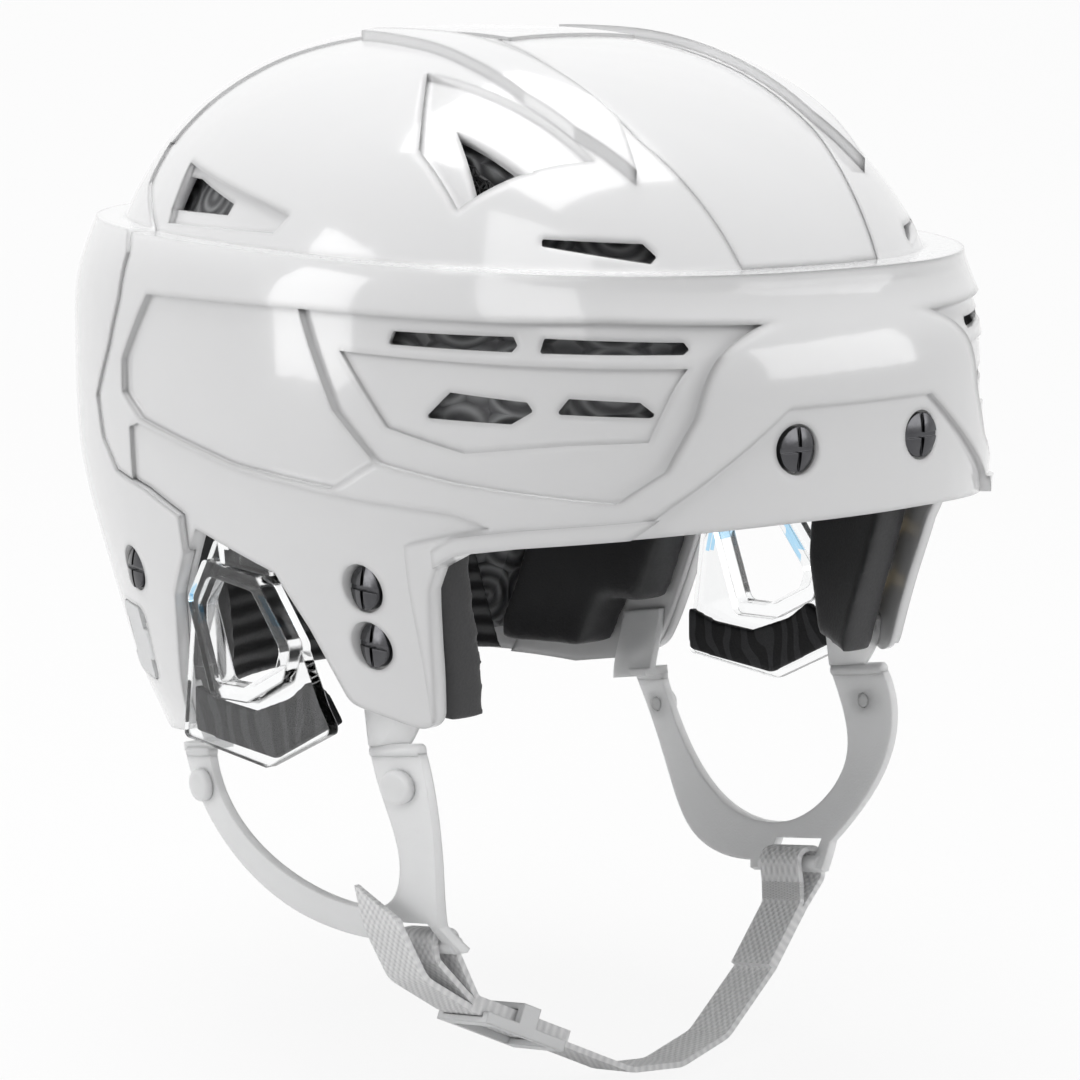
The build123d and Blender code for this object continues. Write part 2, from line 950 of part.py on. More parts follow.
def size_tab():
    """Lever that frees the rear shell, hinged on its front edge."""
    frame = tab_frame()
    base = frame.offset(rear_proud - tab_thickness)
    tab = extrude(base * tab_outline(0), tab_thickness)
    along, _ = tab_pin_place()
    knuckle_side = Pos(along, 0, 0) * Box(2 * tab_knuckle_radius, tab_height, overrun / 8)
    kept = Box(2 * tab_knuckle_radius, tab_knuckle_length, overrun / 8)
    tab = tab - frame * (knuckle_side - Pos(along - tab_knuckle_radius, 0, 0) * kept)
    tab = tab + frame * tab_knuckle(tab_knuckle_radius, tab_knuckle_length)
    grip = Pos(-tab_width / 2, 0, rear_proud) * Box(tab_corner, tab_height / 2, 2 * tab_grip_depth)
    tab = tab - frame * grip
    return tab - frame * tab_knuckle(tab_pin_radius + tab_pin_gap, tab_pin_length)


def tab_pin():
    return tab_frame() * tab_knuckle(tab_pin_radius, tab_pin_length - tab_gap)


def front_foam():
    depth = front_wall + flange_wall + foam_gap
    foam = layer(depth, depth + foam_thickness) & side_prism(side_points(front_foam_shares))
    foam = foam - plan_prism(cap_outline(flange_reach - seam_gap), flange_level - seam_gap)
    foam = foam - both_sides(nut_pocket(brow_screw_frame()))
    return foam - both_sides(lattice_pocket(lattice_gap))


def vent_spread(grow):
    points = plan_points(dome_vent_shares)
    centre = [sum(p[k] for p in points) / len(points) for k in (0, 1)]
    spread = lattice_window_share
    wide = [tuple(c + (v - c) * spread for v, c in zip(p, centre)) for p in points]
    return plan_prism(wide, ledge_height, grow)


def lattice_pocket(grow):
    depth = front_wall + flange_wall + foam_gap
    outer = vent_spread(grow) & form(depth - foam_gap)
    return outer - form(depth + lattice_thickness + lattice_gap)


def lattice_pad():
    depth = front_wall + flange_wall + foam_gap
    return (vent_spread(0) & form(depth)) - form(depth + lattice_thickness)


def rear_foam():
    depth = rear_wall + rear_foam_gap
    foam = layer(depth, depth + foam_thickness)
    far = overrun + rear_reach
    front = flange_rear + rear_foam_clear
    low = block((-overrun, front, rear_foam_low), (overrun, far, flange_level - rear_foam_clear))
    link_low = flange_level - 2 * rear_foam_clear
    link = block((-overrun, rear_foam_link, link_low), (overrun, far, flange_level + rear_foam_clear))
    back = flange_reach + rear_foam_clear
    return foam & (low + link + plan_prism(cap_outline(back), flange_level))


def front_liner_depth():
    return front_wall + flange_wall + foam_gap + foam_thickness + pad_gap


def brow_pad():
    across, low, high = brow_pad_shares
    depth = front_liner_depth()
    width = across * half_width
    space = block((-width, -overrun, low * crown_height), (width, 0, high * crown_height))
    return (space & form(depth)) - form(depth + brow_pad_thickness)


def crown_pad():
    across, front, back = crown_pad_shares
    depth = front_liner_depth()
    width = across * half_width
    space = block((-width, front * front_reach, ledge_height), (width, back * front_reach, overrun))
    return (space & form(depth)) - form(depth + crown_pad_thickness)


def temple_pad():
    """Pad with room for the nuts and for the clip behind it."""
    space = half_prism(side_points(temple_pad_shares), half_width / 2, half_width)
    pad = (space & form(temple_pad_depth)) - form(temple_pad_depth + temple_pad_thickness)
    for frame in temple_screw_frames():
        pad = pad - nut_room(frame)
    return pad - clip_room()


def side_pad():
    """Pad behind the ear, hollowed where the adjustment nut travels."""
    depth = front_wall + flange_wall + pad_gap
    space = half_prism(side_points(side_pad_shares), half_width / 2, half_width)
    pad = (space & form(depth)) - form(depth + side_pad_thickness)
    y, z = side_points([adjust_screw_shares])[0]
    room = adjust_nut_radius + nut_pocket_gap
    low = (0, y - room - adjust_nut_drop / 2, z - room)
    high = (overrun, y + adjust_travel + overrun, z + room + nut_pocket_gap)
    deep = depth + adjust_nut_drop + nut_flange_thickness + adjust_nut_length + screw_shank_radius
    return pad - (block(low, high) - form(deep))


def nape_pad():
    across, low, high = nape_pad_shares
    depth = rear_wall + rear_foam_gap + foam_thickness + pad_gap
    width = across * half_width
    space = block((-width, 0, low * crown_height), (width, overrun + rear_reach, high * crown_height))
    return (space & form(depth)) - form(depth + nape_pad_thickness)


def ear_guard():
    """Clear guard hung in the ear opening, with a raised frame round its window."""
    near = guard_plane - guard_thickness
    window = side_points(guard_window_shares)
    plate = half_prism(side_points(guard_shares), near, guard_plane, guard_corner)
    frame = offset(outline(window), guard_frame_width, kind=Kind.INTERSECTION)
    frame = fillet(frame.vertices(), guard_window_corner)
    rise = guard_thickness + guard_frame_rise
    guard = plate + extrude(Plane.YZ.offset(near) * frame, rise, taper=guard_frame_taper)
    front, back, low, high = guard_lug_shares
    lug = block(
        (near, front * front_reach, low * crown_height),
        (overrun, back * front_reach, high * crown_height),
    )
    guard = guard + (lug & form(front_wall + guard_lug_inset))
    return guard - half_prism(window, 0, overrun, guard_window_corner)


def ear_pad():
    far = guard_plane - guard_thickness - guard_lug_inset
    return half_prism(side_points(ear_pad_shares), far - ear_pad_thickness, far, guard_corner / 2)


def harness(part):
    """Place a piece drawn in the harness frame."""
    return Pos(0, hinge_y, hinge_level) * Rot(X=-harness_tilt) * part


def harness_points(rows):
    return [(along * yoke_drop, -down * yoke_drop) for along, down in rows]


def harness_prism(points, near, far, corner=0):
    return extrude(Plane.YZ.offset(near) * outline(points, corner), far - near)


def bar_place():
    return bar_half_span, -bar_drop


def yoke_sheet(start):
    """Curved sheet that both legs of a yoke are cut from."""
    middle = (hinge_half_span - yoke_bulge_inset, -yoke_bulge_depth)
    arc = ThreePointArc((hinge_half_span, start), middle, (hinge_half_span - yoke_inset, -yoke_drop))
    face = trace(arc, yoke_thickness)
    length = 2 * yoke_drop
    return extrude(Plane.XZ * face, -length, both=True)


def yoke_face():
    """Outline of both legs: smooth edges with a straight floor under the bar."""
    left = bar_centre - bar_slot_length / 2 - yoke_thickness * 2
    right = bar_centre + bar_slot_length / 2 + yoke_thickness * 2
    outer = harness_points(yoke_outer_shares)
    rear = harness_points(yoke_rear_shares)
    inner = harness_points(yoke_inner_shares)
    floor = Polyline(outer[-1], (left, -yoke_drop), (right, -yoke_drop), rear[0])
    edges = [Spline(*outer), floor, Spline(*rear), Line(rear[-1], inner[0]), Spline(*inner)]
    return make_face(edges + [Line(inner[-1], outer[0])])


def chin_yoke():
    """Forked yoke of one side with its webbing bar."""
    sheet = yoke_sheet(-hinge_gap)
    near = hinge_half_span / 2
    yoke = sheet & extrude(Plane.YZ.offset(near) * yoke_face(), half_width - near)
    x, z = bar_place()
    half = bar_slot_length / 2
    opening = block(
        (near, bar_centre - half, z - overrun / 4),
        (half_width, bar_centre + half, z + bar_radius + bar_slot_height),
    )
    yoke = yoke - opening
    bar = Cylinder(bar_radius, bar_slot_length + 2 * yoke_thickness)
    yoke = yoke + Pos(x, bar_centre, z) * Rot(X=90) * bar
    for place, _ in snap_places():
        yoke = yoke - place * Cylinder(screw_shank_radius + screw_hole_gap, overrun / 4)
    return harness(yoke)


def yoke_circle():
    """Centre and radius of the sheet's arc in the harness frame, x and z."""
    (ax, az), (bx, bz) = (-yoke_bulge_inset, -yoke_bulge_depth), (-yoke_inset, -yoke_drop)
    a_square = ax * ax + az * az
    b_square = bx * bx + bz * bz
    area = 2 * (ax * bz - az * bx)
    x = (a_square * bz - b_square * az) / area
    z = (b_square * ax - a_square * bx) / area
    return hinge_half_span + x, z, hypot(x, z)


def yoke_place(along, down):
    """Location on the middle of the sheet with Z out of it."""
    centre_x, centre_z, radius = yoke_circle()
    angle = asin((-down - centre_z) / radius)
    x = centre_x + radius * cos(angle)
    return Pos(x, along, -down) * Rot(Y=90 - degrees(angle))


def snap_places():
    places = []
    for (along, down), oval in ((front_snap_shares, True), (rear_snap_shares, False)):
        places.append((yoke_place(along * yoke_drop, down * yoke_drop), oval))
    return places


def snap_buttons():
    buttons = Part()
    seat = yoke_thickness / 2 + nut_seat_gap / 2
    for place, oval in snap_places():
        if oval:
            head = extrude(Ellipse(snap_width / 2, snap_length / 2), snap_height)
        else:
            head = extrude(Circle(rear_snap_radius), snap_height)
        head = fillet(head.edges().group_by(Axis.Z)[-1], snap_height / 2)
        stem = Cylinder(screw_shank_radius, 2 * seat)
        buttons += place * (Pos(Z=seat) * head + stem)
    return harness(buttons)


def clip_outline(shares, grow=0):
    front, back, high = [share * yoke_drop for share in shares]
    low = hinge_gap
    points = [(front, low), (back, low), (back, high), (front, high)]
    return [(x + grow * (1 if x > front else -1), z + grow) for x, z in points]


def front_clip():
    """Clip that comes out under the ear lobe and carries the yoke's hinge."""
    near = hinge_half_span - clip_thickness / 2
    plate = harness_prism(clip_outline(front_clip_shares), near, near + clip_thickness, clip_corner)
    return harness(plate) & form(front_wall + guard_lug_inset)


def rear_clip():
    """Clip that follows the wall inside and steps out to the hinge below its edge."""
    seat = front_wall + flange_wall + guard_lug_inset
    plate = harness(harness_prism(clip_outline(rear_clip_shares), half_width / 2, half_width))
    plate = (plate & form(seat)) - form(seat + clip_thickness)
    front, back, _ = [share * yoke_drop for share in rear_clip_shares]
    step = block(
        (hinge_half_span - rear_clip_step, front, hinge_gap),
        (hinge_half_span + clip_thickness / 2, back, hinge_gap + clip_thickness),
    )
    return plate + harness(step)


def clip_room():
    """Space that the front clip takes from the temple pad."""
    outline_points = clip_outline(front_clip_shares, tab_gap)
    return harness(harness_prism(outline_points, hinge_half_span - clip_thickness, half_width))


def webbing(points, radii):
    """Flat webbing along a path of the harness frame, with a radius for each corner."""
    face = trace(FilletPolyline(*points, radius=radii), webbing_thickness)
    at = Plane(origin=(0, bar_centre, 0), x_dir=(1, 0, 0), z_dir=(0, -1, 0))
    return extrude(at * face, webbing_width / 2, both=True)


def strap_points(rows):
    return [(across * bar_half_span, up * bar_half_span) for across, up in rows]


def run_direction():
    """Unit direction of the straight run under the slider, and its upward normal."""
    (start_x, start_z) = strap_points(strap_tail_shares)[0]
    (end_x, end_z) = strap_points(strap_main_shares)[0]
    length = hypot(end_x - start_x, end_z - start_z)
    along = ((end_x - start_x) / length, (end_z - start_z) / length)
    return along, (-along[1], along[0]), length


def bar_corners(x, gap, way):
    """Corners of a path round a bar: up its far side, over it and down again."""
    reach = bar_radius + gap + webbing_thickness / 2
    up = [(x + way * reach, -bar_drop - reach), (x + way * reach, -bar_drop + reach)]
    down = [(x - way * reach, -bar_drop + reach), (x - way * reach, -bar_drop - reach)]
    return up, (x, -bar_drop + reach), down


def sewn_end(main):
    """Points of the doubled end that lies on the strap's last run."""
    (low_x, low_z), (high_x, high_z) = main[-2:]
    length = hypot(high_x - low_x, high_z - low_z)
    step = (webbing_thickness - webbing_bite) / length
    shift = (-(high_z - low_z) * step, (high_x - low_x) * step)
    return [(high_x + shift[0], high_z + shift[1]), (low_x + shift[0], low_z + shift[1])]


def near_layers():
    """The two inner layers of the run under the slider."""
    start = strap_points(strap_tail_shares)[0]
    end = strap_points(strap_main_shares)[0]
    _, up, _ = run_direction()
    rise = webbing_thickness - webbing_bite
    low = [(px + up[0] * rise, pz + up[1] * rise) for px, pz in (end, start)]
    high = [(px + 2 * up[0] * rise, pz + 2 * up[1] * rise) for px, pz in (start, end)]
    return low, high


def chin_strap():
    main = strap_points(strap_main_shares)
    tail = strap_points(strap_tail_shares)
    path = list(reversed(tail)) + main
    up, top, down = bar_corners(bar_half_span, far_loop_gap, 1)
    far_radius = bar_radius + far_loop_gap
    strap = webbing(path + up + [top], [strap_bend_radius] * (len(path) - 1) + [far_radius] * 2)
    strap += webbing([top] + down + sewn_end(main), [far_radius] * 3)
    low, high = near_layers()
    up, top, down = bar_corners(-bar_half_span, near_loop_gap, -1)
    near_radius = bar_radius + near_loop_gap
    strap += webbing(low + up + [top], [near_radius] * 3)
    strap += webbing([top] + down + high, [near_radius] * 3)
    tip = harness_prism(harness_points(strap_tip_shares), -half_width, -bar_half_span)
    return harness(strap - tip)


def strap_slider():
    """Three-bar slider round the stacked webbing."""
    along, up, length = run_direction()
    start = strap_points(strap_tail_shares)[0]
    middle = (start[0] + along[0] * length / 2, start[1] + along[1] * length / 2)
    frame = Plane(
        origin=(middle[0], bar_centre, middle[1]),
        x_dir=(along[0], 0, along[1]),
        z_dir=(up[0], 0, up[1]),
    )
    low = -webbing_thickness / 2 - slider_gap
    high = strap_layers * webbing_thickness - webbing_thickness / 2 + slider_gap
    inner = webbing_width / 2 + slider_side_gap
    outer = slider_width / 2
    end = slider_length / 2
    body = Part()
    half_middle = slider_middle_bar / 2
    for side in (-1, 1):
        near, far = sorted((side * inner, side * outer))
        body += block((-end, near, low - slider_plate), (end, far, low + webbing_thickness))
        body += block((-half_middle, near, low), (half_middle, far, high + slider_plate))
        edge = side * (end - slider_bar / 2) - slider_bar / 2
        body += block((edge, -outer, low - slider_plate), (edge + slider_bar, outer, low))
    body += block((-half_middle, -outer, high), (half_middle, outer, high + slider_plate))
    return harness(frame * body)


def write(name, part):
    solids = part.solids()
    volume = sum(solid.volume for solid in solids)
    print(name, len(solids), round(volume / 1000, 2), "cm3")
    export_step(Compound(solids), os.path.join("parts", name + ".step"), write_pcurves=False)


def write_sides(name, left):
    write(name + "_left", left)
    write(name + "_right", mirrored(left))


def main():
    os.makedirs("parts", exist_ok=True)
    write("front_shell", front_shell())
    write("crown_panel", crown_panel())
    write("rear_shell", rear_shell())
    write("front_foam", front_foam())
    write("rear_foam", rear_foam())
    write_sides("crown_lattice", lattice_pad())
    write("brow_pad", brow_pad())
    write("crown_pad", crown_pad())
    write("nape_pad", nape_pad())
    write_sides("temple_pad", temple_pad())
    write_sides("side_pad", side_pad())
    write_sides("ear_guard", ear_guard())
    write_sides("ear_pad", ear_pad())
    brow = brow_screw_frame()
    write("brow_screws", both_sides(screw(brow)))
    write("brow_nuts", both_sides(nut(brow, -boss_depth - nut_seat_gap)))
    temple = temple_screw_frames()
    write("temple_screws", both_sides(screw(temple[0]) + screw(temple[1])))
    seat = -boss_depth - nut_seat_gap
    write("temple_nuts", both_sides(nut(temple[0], seat) + nut(temple[1], seat)))
    write("adjust_screws", both_sides(adjust_screw()))
    write("adjust_nuts", both_sides(adjust_nut()))
    write_sides("size_tab", size_tab())
    write("tab_pins", both_sides(tab_pin()))
    write_sides("front_clip", front_clip())
    write_sides("rear_clip", rear_clip())
    write_sides("chin_yoke", chin_yoke())
    write_sides("snap_buttons", snap_buttons())
    write("chin_strap", chin_strap())
    write("strap_slider", strap_slider())


main()
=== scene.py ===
import json
import math

import bpy
import numpy as np
from mathutils import Matrix, Vector


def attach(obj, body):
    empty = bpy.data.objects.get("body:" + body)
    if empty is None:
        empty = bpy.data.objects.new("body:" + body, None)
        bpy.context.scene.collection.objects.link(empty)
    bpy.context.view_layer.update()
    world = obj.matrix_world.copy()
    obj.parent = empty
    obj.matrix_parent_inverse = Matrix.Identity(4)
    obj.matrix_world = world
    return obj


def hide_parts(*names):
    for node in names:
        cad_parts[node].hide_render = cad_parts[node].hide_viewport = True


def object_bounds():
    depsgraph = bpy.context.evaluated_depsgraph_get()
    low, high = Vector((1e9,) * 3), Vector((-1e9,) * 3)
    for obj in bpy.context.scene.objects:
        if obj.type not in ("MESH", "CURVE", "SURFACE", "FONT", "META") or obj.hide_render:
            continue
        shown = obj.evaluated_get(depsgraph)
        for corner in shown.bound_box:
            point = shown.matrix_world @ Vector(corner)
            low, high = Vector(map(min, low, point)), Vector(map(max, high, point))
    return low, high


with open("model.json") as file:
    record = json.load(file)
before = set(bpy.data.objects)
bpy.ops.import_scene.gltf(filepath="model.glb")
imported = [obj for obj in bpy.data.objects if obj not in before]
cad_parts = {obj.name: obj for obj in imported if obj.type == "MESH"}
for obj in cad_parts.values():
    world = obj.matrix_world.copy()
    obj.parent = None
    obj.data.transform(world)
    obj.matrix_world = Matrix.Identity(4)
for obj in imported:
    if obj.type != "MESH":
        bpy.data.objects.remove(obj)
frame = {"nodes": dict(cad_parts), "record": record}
cad_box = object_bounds()
nodes = frame["nodes"]
bodies = frame["record"]["behaviour"]["bodies"]
MM = 0.001
SIDES = ("left", "right")
BEVEL_SAMPLES = 4


# Helpers for node trees. Scales are per metre, distances in metres.

def shader_of(mat):
    return next(n for n in mat.node_tree.nodes if n.type == "BSDF_PRINCIPLED")


def material(name):
    """A new material with its node tree and shader."""
    mat = bpy.data.materials.new(name)
    mat.use_nodes = True
    return mat, mat.node_tree, shader_of(mat)


def feed(node, inputs):
    """Link each named input of a node to a socket, or set it to a value."""
    for key, value in inputs.items():
        if isinstance(value, bpy.types.NodeSocket):
            node.id_data.links.new(value, node.inputs[key])
        else:
            node.inputs[key].default_value = value


def add(tree, kind, inputs=None, **settings):
    node = tree.nodes.new(kind)
    for key, value in settings.items():
        setattr(node, key, value)
    feed(node, inputs or {})
    return node


def compute(tree, operation, *values):
    inputs = dict(enumerate(values))
    return add(tree, "ShaderNodeMath", inputs, operation=operation).outputs[0]


def coordinates(tree, rotation=(0, 0, 0)):
    """Object coordinates in metres, turned where asked."""
    place = add(tree, "ShaderNodeTexCoord").outputs["Object"]
    turned = add(tree, "ShaderNodeMapping", {"Vector": place, "Rotation": rotation})
    return turned.outputs["Vector"]


def noise(tree, vector, scale, detail=3.0, roughness=0.5):
    inputs = {"Vector": vector, "Scale": scale, "Detail": detail, "Roughness": roughness}
    return add(tree, "ShaderNodeTexNoise", inputs).outputs["Fac"]


def spread(tree, value, low, high, from_low=0.3, from_high=0.7):
    """Carry a value from one range to another. The usual first one suits noise."""
    inputs = {"Value": value, "From Min": from_low, "From Max": from_high}
    inputs.update({"To Min": low, "To Max": high})
    return add(tree, "ShaderNodeMapRange", inputs).outputs["Result"]


def blend_colors(tree, factor, dark, light):
    """Blend from one colour to another. Each is three numbers or a socket."""
    inputs = {"Factor": factor}
    for key, color in (("A", dark), ("B", light)):
        is_socket = isinstance(color, bpy.types.NodeSocket)
        inputs[key] = color if is_socket else (*color, 1)
    return add(tree, "ShaderNodeMix", inputs, data_type="RGBA").outputs["Result"]


def bump(tree, height, distance, strength, normal=None):
    inputs = {"Height": height, "Distance": distance, "Strength": strength}
    if normal:
        inputs["Normal"] = normal
    return add(tree, "ShaderNodeBump", inputs).outputs["Normal"]


def rounded(tree, radius):
    """Normals that round off sharp edges."""
    node = add(tree, "ShaderNodeBevel", {"Radius": radius}, samples=BEVEL_SAMPLES)
    return node.outputs["Normal"]


# Materials.

def plastic(name, dark, light, rough, edge, coat=0.0, grain=0.0):
    """Moulded plastic, slightly uneven in colour and gloss, with rounded edges."""
    mat, tree, shader = material(name)
    place = coordinates(tree)
    normal = rounded(tree, edge)
    if grain:
        texture = noise(tree, place, scale=1500.0)
        normal = bump(tree, texture, distance=grain, strength=0.6, normal=normal)
    feed(shader, {
        "Base Color": blend_colors(tree, noise(tree, place, scale=9.0), dark, light),
        "Roughness": spread(tree, noise(tree, place, scale=420.0, detail=4.0), *rough),
        "Normal": normal,
        "Coat Weight": coat,
        "Coat Roughness": 0.04,
    })
    return mat


def foam_material():
    """Grey closed cell foam with moulded rings."""
    mat, tree, shader = material("foam_grey")
    place = coordinates(tree)
    cell_inputs = {"Vector": place, "Scale": 62.0, "Randomness": 0.35}
    cells = add(tree, "ShaderNodeTexVoronoi", cell_inputs).outputs["Distance"]
    ring_rate = 26.0
    rings = compute(tree, "SINE", compute(tree, "MULTIPLY", cells, ring_rate))
    grain = noise(tree, place, scale=900.0, detail=5.0, roughness=0.7)
    shade = spread(tree, rings, 0.0, 1.0, from_low=-1.0, from_high=1.0)
    relief = bump(tree, rings, distance=0.0006, strength=0.8)
    feed(shader, {
        "Base Color": blend_colors(tree, shade, (0.10, 0.10, 0.105), (0.30, 0.305, 0.31)),
        "Roughness": spread(tree, grain, 0.5, 0.75),
        "Normal": bump(tree, grain, distance=0.0002, strength=0.5, normal=relief),
    })
    return mat


def pad_material(name, dark, light, ribs=0.0):
    """Black moulded pad, finely grained, with ribs where asked."""
    mat, tree, shader = material(name)
    place = coordinates(tree)
    grain = noise(tree, place, scale=1300.0, detail=4.0, roughness=0.6)
    normal = bump(tree, grain, distance=0.00015, strength=0.6)
    if ribs:
        rib_inputs = {"Vector": place, "Scale": ribs, "Distortion": 1.5}
        wave = add(tree, "ShaderNodeTexWave", rib_inputs, bands_direction="Z").outputs["Fac"]
        normal = bump(tree, wave, distance=0.0009, strength=0.9, normal=normal)
    feed(shader, {
        "Base Color": blend_colors(tree, noise(tree, place, scale=30.0), dark, light),
        "Roughness": spread(tree, grain, 0.42, 0.62),
        "Normal": normal,
        "Sheen Weight": 0.15,
        "Sheen Roughness": 0.5,
    })
    return mat


def ear_pad_material():
    """Black pad with a printed pattern of wavy lines in a slightly lighter black."""
    mat, tree, shader = material("ear_pad_black")
    line_lean = 0.35
    place = coordinates(tree, rotation=(line_lean, 0, 0))
    line_inputs = {"Vector": place, "Scale": 42.0, "Distortion": 7.0}
    line_inputs.update({"Detail": 1.0, "Detail Scale": 1.4})
    wave = add(tree, "ShaderNodeTexWave", line_inputs, bands_direction="Y").outputs["Fac"]
    lines = spread(tree, wave, 0.0, 1.0, from_low=0.55, from_high=0.68)
    grain = noise(tree, place, scale=1600.0, detail=4.0)
    feed(shader, {
        "Base Color": blend_colors(tree, lines, (0.008, 0.008, 0.009), (0.04, 0.04, 0.043)),
        "Roughness": spread(tree, grain, 0.5, 0.7),
        "Normal": bump(tree, grain, distance=0.00015, strength=0.7),
        "Specular IOR Level": 0.2,
    })
    return mat


def near_line(tree, place, start, end, width):
    """1 near a line of the side view between two heights, y and z in metres."""
    parts = add(tree, "ShaderNodeSeparateXYZ", {"Vector": place})
    run = (end[0] - start[0], end[1] - start[1])
    length = math.hypot(*run)
    across = (run[1] / length, -run[0] / length)
    shift = -(start[0] * across[0] + start[1] * across[1])
    y_part = compute(tree, "MULTIPLY_ADD", parts.outputs["Y"], across[0], shift)
    distance = compute(tree, "MULTIPLY_ADD", parts.outputs["Z"], across[1], y_part)
    beside = compute(tree, "COMPARE", distance, 0.0, width)
    middle, half = (start[1] + end[1]) / 2, abs(end[1] - start[1]) / 2
    level = compute(tree, "COMPARE", parts.outputs["Z"], middle, half)
    return compute(tree, "MULTIPLY", beside, level)


FRONT_MARK = {"start": (0.0045, -0.0145), "end": (-0.0025, -0.0215), "width": 0.0011}
REAR_MARK = {"start": (0.0365, -0.019), "end": (0.0385, -0.028), "width": 0.0008}


def clear_material():
    """Clear polished plastic with two short light blue marks on its border."""
    mat, tree, shader = material("clear_plastic")
    place = coordinates(tree)
    slow = noise(tree, place, scale=40.0)
    clear = blend_colors(tree, slow, (0.97, 0.98, 0.985), (1.0, 1.0, 1.0))
    front_mark = near_line(tree, place, **FRONT_MARK)
    marks = compute(tree, "MAXIMUM", front_mark, near_line(tree, place, **REAR_MARK))
    feed(shader, {
        "Base Color": blend_colors(tree, marks, clear, (0.25, 0.6, 0.95)),
        "Roughness": spread(tree, noise(tree, place, scale=700.0), 0.02, 0.06),
        "Normal": rounded(tree, 0.0008),
        "Transmission Weight": 1.0,
        "IOR": 1.33,
    })
    return mat


def metal_material(name, dark, light, rough):
    mat, tree, shader = material(name)
    place = coordinates(tree)
    feed(shader, {
        "Base Color": blend_colors(tree, noise(tree, place, scale=180.0), dark, light),
        "Roughness": spread(tree, noise(tree, place, scale=900.0, detail=5.0), *rough),
        "Normal": rounded(tree, 0.0003),
        "Metallic": 1.0,
    })
    return mat


PITCH_ACROSS, PITCH_ALONG = 0.0024, 0.0026


def webbing_material():
    """Plain woven white webbing, by the length of its own surface map."""
    mat, tree, shader = material("webbing_white")
    chart = add(tree, "ShaderNodeUVMap", uv_map="weave").outputs["UV"]
    parts = add(tree, "ShaderNodeSeparateXYZ", {"Vector": chart}).outputs

    def sine(value, pitch):
        return compute(tree, "SINE", compute(tree, "MULTIPLY", value, 2 * math.pi / pitch))

    across, along = sine(parts["X"], PITCH_ACROSS), sine(parts["Y"], PITCH_ALONG)
    cells = compute(tree, "MULTIPLY", across, along)
    fuzz = noise(tree, coordinates(tree), scale=2200.0, detail=4.0, roughness=0.7)
    fuzz_share = 0.5
    height = compute(tree, "MULTIPLY_ADD", fuzz, fuzz_share, cells)
    factor = spread(tree, height, 0.0, 1.0, from_low=-0.8, from_high=1.0)
    feed(shader, {
        "Base Color": blend_colors(tree, factor, (0.66, 0.66, 0.67), (0.92, 0.92, 0.92)),
        "Roughness": spread(tree, fuzz, 0.7, 0.9),
        "Normal": bump(tree, height, distance=0.0003, strength=0.9),
        "Sheen Weight": 0.3,
        "Sheen Roughness": 0.6,
    })
    return mat


def let_light_in(mat, weight, depth):
    """Let light scatter through a thin pale piece."""
    feed(shader_of(mat), {
        "Subsurface Weight": weight,
        "Subsurface Radius": (1.0, 1.0, 1.0),
        "Subsurface Scale": depth,
    })
    return mat


PAD_COLORS = ((0.014, 0.014, 0.015), (0.03, 0.03, 0.032))
METAL_COLORS = {
    "screw": ((0.05, 0.05, 0.055), (0.12, 0.12, 0.125)),
    "brass": ((0.55, 0.42, 0.2), (0.7, 0.55, 0.3)),
    "steel": ((0.5, 0.5, 0.5), (0.65, 0.65, 0.65)),
}
WHITE = plastic("shell_white", (0.74, 0.74, 0.745), (0.77, 0.77, 0.775), (0.10, 0.16),
                edge=0.0030, coat=0.6)
SATIN = plastic("satin_white", (0.70, 0.705, 0.71), (0.75, 0.755, 0.76), (0.34, 0.46),
                edge=0.0009, grain=0.0001)
FOAM = foam_material()
PAD = pad_material("pad_black", *PAD_COLORS)
RIBBED = pad_material("pad_ribbed", *PAD_COLORS, ribs=60.0)
EAR_PAD = ear_pad_material()
CLEAR = clear_material()
DARK_METAL = metal_material("screw_dark", *METAL_COLORS["screw"], (0.12, 0.25))
BRASS = metal_material("nut_brass", *METAL_COLORS["brass"], (0.3, 0.45))
STEEL = metal_material("pin_steel", *METAL_COLORS["steel"], (0.2, 0.35))
LATTICE = pad_material("lattice_black", (0.012, 0.012, 0.013), (0.04, 0.04, 0.042))
WEBBING = let_light_in(webbing_material(), 0.5, 0.003)
MILKY = plastic("yoke_milky", (0.80, 0.805, 0.81), (0.85, 0.855, 0.86), (0.3, 0.42),
                edge=0.0009, grain=0.0001)
let_light_in(MILKY, 0.8, 0.006)

LOOKS = {
    "front_shell": WHITE, "rear_shell": WHITE, "crown_panel": WHITE,
    "front_foam": FOAM, "rear_foam": FOAM,
    "brow_pad": PAD, "crown_pad": PAD, "nape_pad": RIBBED,
    "temple_pad": PAD, "side_pad": PAD, "crown_lattice": LATTICE,
    "ear_guard": CLEAR, "ear_pad": EAR_PAD,
    "brow_screws": DARK_METAL, "temple_screws": DARK_METAL, "adjust_screws": DARK_METAL,
    "brow_nuts": BRASS, "temple_nuts": BRASS, "adjust_nuts": BRASS,
    "size_tab": SATIN, "tab_pins": STEEL, "strap_slider": SATIN,
    "front_clip": MILKY, "rear_clip": MILKY, "chin_yoke": MILKY, "snap_buttons": MILKY,
    "chin_strap": WEBBING,
}


def base_name(node):
    """A node's name without its side."""
    for side in SIDES:
        node = node.removesuffix("_" + side)
    return node


def dress(piece, look):
    piece.data.materials.clear()
    piece.data.materials.append(look)


for node, piece in nodes.items():
    dress(piece, LOOKS[base_name(node)])


# Pieces that the scene adds, or puts in the place of CAD nodes.

def body_of(node):
    return next(body for body, members in bodies.items() if node in members)


def linked(name, mesh):
    """A new object in the scene."""
    piece = bpy.data.objects.new(name, mesh)
    bpy.context.collection.objects.link(piece)
    return piece


